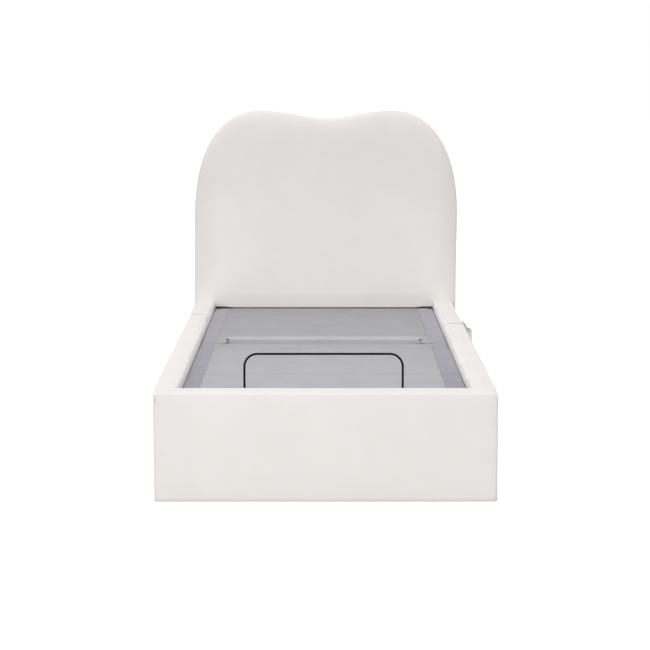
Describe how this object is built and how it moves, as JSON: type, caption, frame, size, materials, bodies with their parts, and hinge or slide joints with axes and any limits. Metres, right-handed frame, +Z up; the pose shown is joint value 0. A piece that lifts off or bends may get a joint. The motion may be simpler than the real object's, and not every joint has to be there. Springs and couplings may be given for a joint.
{
  "type": "adjustable bed",
  "caption": "Adjustable bed: folding powered mattress deck with a retainer bar, in a padded surround with a wave-topped headboard, side pocket and wireless handset.",
  "frame": {"origin": "on the floor under the middle of the bed's outline", "axes": "+X to the right as seen from the foot end, +Y towards the headboard, +Z up"},
  "size_m": [1.2, 2.2152, 1.231],
  "materials": {
    "upholstery": "fine close-woven cover, warm off-white, matt",
    "timber": "unfinished plywood",
    "back_cloth": "black non-woven dust cloth",
    "deck_cloth": "grey deck cloth with a darker border along each side",
    "black_steel": "black powder coat",
    "retainer_finish": "satin black paint",
    "drive_rod": "ground steel",
    "black_plastic": "fine moulded texture",
    "button_rubber": "soft-touch rubber"
  },
  "bodies": {
    "frame": {"headboard_cushion": "upholstery", "headboard_core": "timber", "headboard_back_cloth": "back_cloth", "left_rail_cover": "upholstery", "left_rail_board": "timber", "right_rail_cover": "upholstery", "right_rail_board": "timber", "footboard_cover": "upholstery", "footboard_board": "timber", "corner_angle_foot_left": "black_steel", "corner_angle_head_left": "black_steel", "corner_angle_foot_right": "black_steel", "corner_angle_head_right": "black_steel", "base_side_tube_left": "black_steel", "base_side_tube_right": "black_steel", "base_cross_tube_foot": "black_steel", "base_cross_tube_head": "black_steel", "head_motor_tube": "black_steel", "foot_motor_tube": "black_steel", "control_box": "black_plastic", "leg_foot_left": "black_plastic", "leg_middle_left": "black_plastic", "leg_head_left": "black_plastic", "leg_foot_right": "black_plastic", "leg_middle_right": "black_plastic", "leg_head_right": "black_plastic", "seat_pad": "deck_cloth", "seat_board": "timber", "side_pocket": "upholstery"},
    "head_section": {"head_pad": "deck_cloth", "head_board": "timber", "head_side_bar_left": "black_steel", "head_side_bar_right": "black_steel", "head_lever_bar": "black_steel"},
    "thigh_section": {"thigh_pad": "deck_cloth", "thigh_board": "timber", "thigh_side_bar_left": "black_steel", "thigh_side_bar_right": "black_steel", "thigh_lever_bar": "black_steel"},
    "calf_section": {"calf_pad": "deck_cloth", "calf_board": "timber", "calf_side_bar_left": "black_steel", "calf_side_bar_right": "black_steel"},
    "retainer": {"retainer_bar": "retainer_finish"},
    "level_links": {"level_link_left": "black_steel", "level_link_right": "black_steel"},
    "head_drive": {"head_actuator": "black_plastic"},
    "head_drive_rod": {"head_actuator_rod": "drive_rod"},
    "foot_drive": {"foot_actuator": "black_plastic"},
    "foot_drive_rod": {"foot_actuator_rod": "drive_rod"},
    "handset": {"handset_casing": "black_plastic"},
    "button_head_up": {"button_head_up": "button_rubber"},
    "button_foot_up": {"button_foot_up": "button_rubber"},
    "button_head_down": {"button_head_down": "button_rubber"},
    "button_foot_down": {"button_foot_down": "button_rubber"},
    "button_lie_flat": {"button_lie_flat": "button_rubber"},
    "button_zero_gravity": {"button_zero_gravity": "button_rubber"}
  },
  "joints": [
    {"name": "head_tilt", "type": "hinge", "parent": "frame", "child": "head_section", "pos_m": [0, 0.15445, 0.295], "axis": [1, 0, 0], "range_deg": [0, 60]},
    {"name": "thigh_tilt", "type": "hinge", "parent": "frame", "child": "thigh_section", "pos_m": [0, -0.00655, 0.295], "axis": [-1, 0, 0], "range_deg": [0, 35]},
    {"name": "knee_fold", "type": "hinge", "parent": "thigh_section", "child": "calf_section", "pos_m": [0, -0.57255, 0.295], "axis": [1, 0, 0], "range_deg": [0, 35]},
    {"name": "link_swing", "type": "hinge", "parent": "frame", "child": "level_links", "pos_m": [0, -0.30655, 0.207], "axis": [-1, 0, 0], "range_deg": [0, 35]},
    {"name": "head_drive_tilt", "type": "hinge", "parent": "frame", "child": "head_drive", "pos_m": [0.13, -0.25655, 0.177], "axis": [1, 0, 0], "range_deg": [0, 7.52]},
    {"name": "head_drive_extend", "type": "slide", "parent": "head_drive", "child": "head_drive_rod", "axis": [0, 0.9998, 0.0222], "range_m": [0, 0.0909]},
    {"name": "foot_drive_tilt", "type": "hinge", "parent": "frame", "child": "foot_drive", "pos_m": [-0.13, 0.38245, 0.177], "axis": [-1, 0, 0], "range_deg": [0, 5.07]},
    {"name": "foot_drive_extend", "type": "slide", "parent": "foot_drive", "child": "foot_drive_rod", "axis": [0, -0.9999, 0.0122], "range_m": [0, 0.0598]},
    {"name": "retainer_lift", "type": "slide", "parent": "calf_section", "child": "retainer", "axis": [0, 0, 1], "range_m": [0, 0.08]},
    {"name": "handset_lift", "type": "slide", "parent": "frame", "child": "handset", "axis": [0, 0, 1], "range_m": [0, 0.19]},
    {"name": "press_head_up", "type": "slide", "parent": "handset", "child": "button_head_up", "axis": [-1, 0, 0], "range_m": [0, 0.001], "stiffness_N_per_m": 200, "springref_m": -0.002},
    {"name": "press_foot_up", "type": "slide", "parent": "handset", "child": "button_foot_up", "axis": [-1, 0, 0], "range_m": [0, 0.001], "stiffness_N_per_m": 200, "springref_m": -0.002},
    {"name": "press_head_down", "type": "slide", "parent": "handset", "child": "button_head_down", "axis": [-1, 0, 0], "range_m": [0, 0.001], "stiffness_N_per_m": 200, "springref_m": -0.002},
    {"name": "press_foot_down", "type": "slide", "parent": "handset", "child": "button_foot_down", "axis": [-1, 0, 0], "range_m": [0, 0.001], "stiffness_N_per_m": 200, "springref_m": -0.002},
    {"name": "press_lie_flat", "type": "slide", "parent": "handset", "child": "button_lie_flat", "axis": [-1, 0, 0], "range_m": [0, 0.001], "stiffness_N_per_m": 200, "springref_m": -0.002},
    {"name": "press_zero_gravity", "type": "slide", "parent": "handset", "child": "button_zero_gravity", "axis": [-1, 0, 0], "range_m": [0, 0.001], "stiffness_N_per_m": 200, "springref_m": -0.002}
  ],
  "couplings": [
    {"joint": "knee_fold", "follows": "thigh_tilt", "ratio": 1},
    {"joint": "link_swing", "follows": "thigh_tilt", "ratio": 1},
    {"joint": "head_drive_tilt", "follows": "head_tilt", "ratio": 0.12533},
    {"joint": "head_drive_extend", "follows": "head_tilt", "m_per_rad": 0.086785},
    {"joint": "foot_drive_tilt", "follows": "thigh_tilt", "ratio": 0.14469},
    {"joint": "foot_drive_extend", "follows": "thigh_tilt", "m_per_rad": 0.097728}
  ]
}
